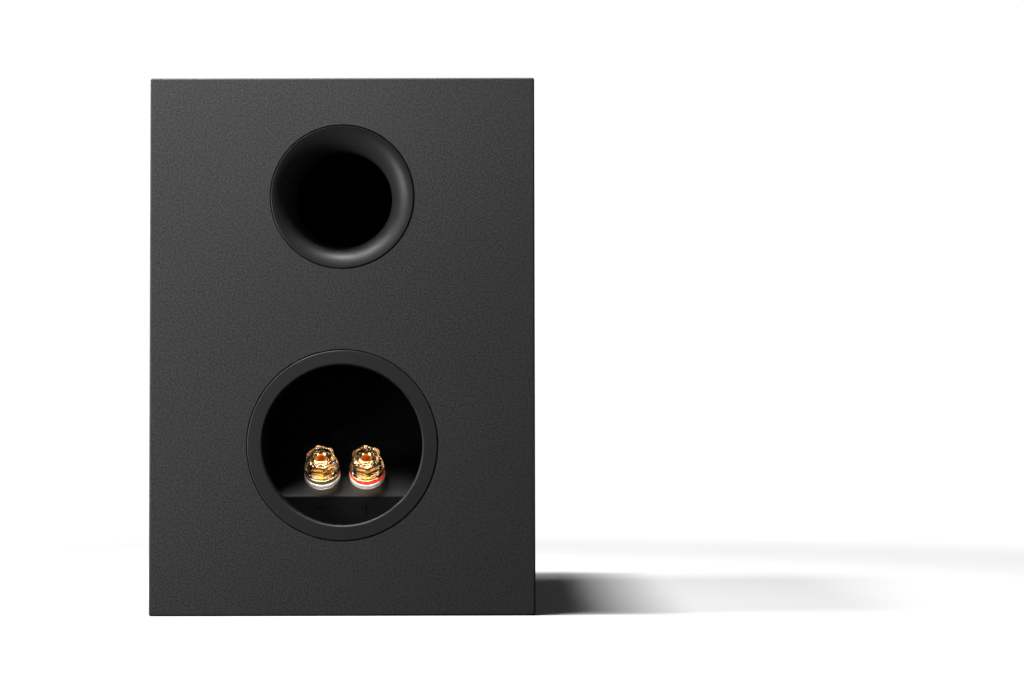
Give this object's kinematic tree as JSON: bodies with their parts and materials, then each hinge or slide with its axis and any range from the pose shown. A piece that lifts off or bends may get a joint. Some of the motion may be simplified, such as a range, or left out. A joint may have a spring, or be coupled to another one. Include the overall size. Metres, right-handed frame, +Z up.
{
  "type": "bookshelf speaker",
  "caption": "Two-way bookshelf speaker: black wooden box with woofer, tweeter and pull-off cloth grille in front, flared bass port and a round cup of binding posts behind.",
  "frame": {"origin": "centre of the overall box's underside", "axes": "+Z up from the shelf, +Y towards the back with the port and terminals, -Y towards the listener, +X to the right seen from the front"},
  "size_m": [0.161, 0.24, 0.225],
  "materials": {
    "black_vinyl": "fine-grained black vinyl foil on fibreboard",
    "black_plastic": "fine-textured moulded black plastic",
    "port_plastic": "satin moulded black plastic",
    "label_black": "blank matt black label",
    "gasket_foam": "closed-cell foam",
    "gold": "gold-plated brass",
    "red_plastic": "satin red plastic",
    "clear_plastic": "clear moulded polycarbonate",
    "zinc_steel": "zinc-plated steel",
    "black_steel": "black painted steel",
    "rubber_surround": "matt black butyl rubber",
    "paper_cone": "coated black paper pulp",
    "aluminium_former": "thin aluminium",
    "copper_winding": "enamelled copper wire",
    "spider_cloth": "resin-treated cotton",
    "ferrite": "sintered ferrite",
    "silk_dome": "coated black silk",
    "board_fibre": "paper-laminate circuit board",
    "capacitor_film": "wrapped film capacitor",
    "cement_white": "cement resistor body",
    "lead_insulation": "soft PVC insulation",
    "tinsel_braid": "braided copper tinsel",
    "wadding": "white polyester wadding",
    "grille_plastic": "moulded black plastic",
    "grille_cloth": "black acoustic cloth",
    "nylon": "moulded black nylon"
  },
  "bodies": {
    "cabinet": {"bottom_panel": "black_vinyl", "crossover_board": "board_fibre", "crossover_capacitors": "capacitor_film", "crossover_resistor": "cement_white", "crossover_screws": "zinc_steel", "crossover_standoffs": "nylon", "damping_wadding": "wadding", "front_baffle": "black_vinyl", "grille_sockets": "nylon", "input_leads": "lead_insulation", "left_side_panel": "black_vinyl", "negative_base_collar": "gold", "negative_colour_ring": "black_plastic", "negative_post_stud": "gold", "port_flare": "port_plastic", "port_tube": "port_plastic", "positive_base_collar": "gold", "positive_colour_ring": "red_plastic", "positive_post_stud": "gold", "post_lock_nuts": "gold", "rear_panel": "black_vinyl", "right_side_panel": "black_vinyl", "solder_tags": "gold", "terminal_cup": "black_plastic", "terminal_cup_gasket": "gasket_foam", "terminal_label": "label_black", "top_panel": "black_vinyl", "tweeter_choke": "copper_winding", "tweeter_faceplate": "black_plastic", "tweeter_leads": "lead_insulation", "tweeter_magnet": "ferrite", "tweeter_pole_plate": "black_steel", "tweeter_screws": "black_steel", "tweeter_surround": "silk_dome", "tweeter_top_plate": "zinc_steel", "woofer_basket": "black_steel", "woofer_choke": "copper_winding", "woofer_leads": "lead_insulation", "woofer_magnet": "ferrite", "woofer_pole_plate": "black_steel", "woofer_screws": "black_steel", "woofer_spider": "spider_cloth", "woofer_surround": "rubber_surround", "woofer_terminal_strip": "board_fibre", "woofer_tinsel_leads": "tinsel_braid", "woofer_top_plate": "zinc_steel"},
    "woofer_cone_assembly": {"woofer_cone": "paper_cone", "woofer_dust_cap": "paper_cone", "voice_coil_former": "aluminium_former", "voice_coil_winding": "copper_winding"},
    "tweeter_dome_assembly": {"tweeter_dome": "silk_dome", "tweeter_voice_coil": "copper_winding"},
    "grille": {"grille_frame": "grille_plastic", "grille_cloth": "grille_cloth"},
    "negative_washer": {"negative_clamp_washer": "gold"},
    "negative_nut": {"negative_nut_shell": "clear_plastic", "negative_nut_insert": "gold"},
    "positive_washer": {"positive_clamp_washer": "gold"},
    "positive_nut": {"positive_nut_shell": "clear_plastic", "positive_nut_insert": "gold"}
  },
  "joints": [
    {"name": "negative_washer_slide", "type": "slide", "parent": "cabinet", "child": "negative_washer", "axis": [0, 0.7193, 0.6947], "range_m": [0, 0.00501]},
    {"name": "negative_nut_turn", "type": "hinge", "parent": "negative_washer", "child": "negative_nut", "pos_m": [0.0095, 0.10702, 0.06316], "axis": [0, 0.7193, 0.6947], "range_deg": [0, 1800]},
    {"name": "positive_washer_slide", "type": "slide", "parent": "cabinet", "child": "positive_washer", "axis": [0, 0.7193, 0.6947], "range_m": [0, 0.00501]},
    {"name": "positive_nut_turn", "type": "hinge", "parent": "positive_washer", "child": "positive_nut", "pos_m": [-0.0095, 0.10702, 0.06316], "axis": [0, 0.7193, 0.6947], "range_deg": [0, 1800]},
    {"name": "woofer_cone_slide", "type": "slide", "parent": "cabinet", "child": "woofer_cone_assembly", "axis": [0, -1, 0], "range_m": [-0.004, 0.004], "stiffness_N_per_m": 1000, "deforming": ["woofer_surround", "woofer_spider", "woofer_tinsel_leads"]},
    {"name": "tweeter_dome_slide", "type": "slide", "parent": "cabinet", "child": "tweeter_dome_assembly", "axis": [0, -1, 0], "range_m": [-0.0003, 0.0003], "stiffness_N_per_m": 2000, "deforming": ["tweeter_surround"]},
    {"name": "grille_pull", "type": "slide", "parent": "cabinet", "child": "grille", "axis": [0, -1, 0], "range_m": [0, 0.04]}
  ],
  "couplings": [
    {"joint": "negative_washer_slide", "follows": "negative_nut_turn", "m_per_rad": 0.00015915},
    {"joint": "positive_washer_slide", "follows": "positive_nut_turn", "m_per_rad": 0.00015915}
  ]
}
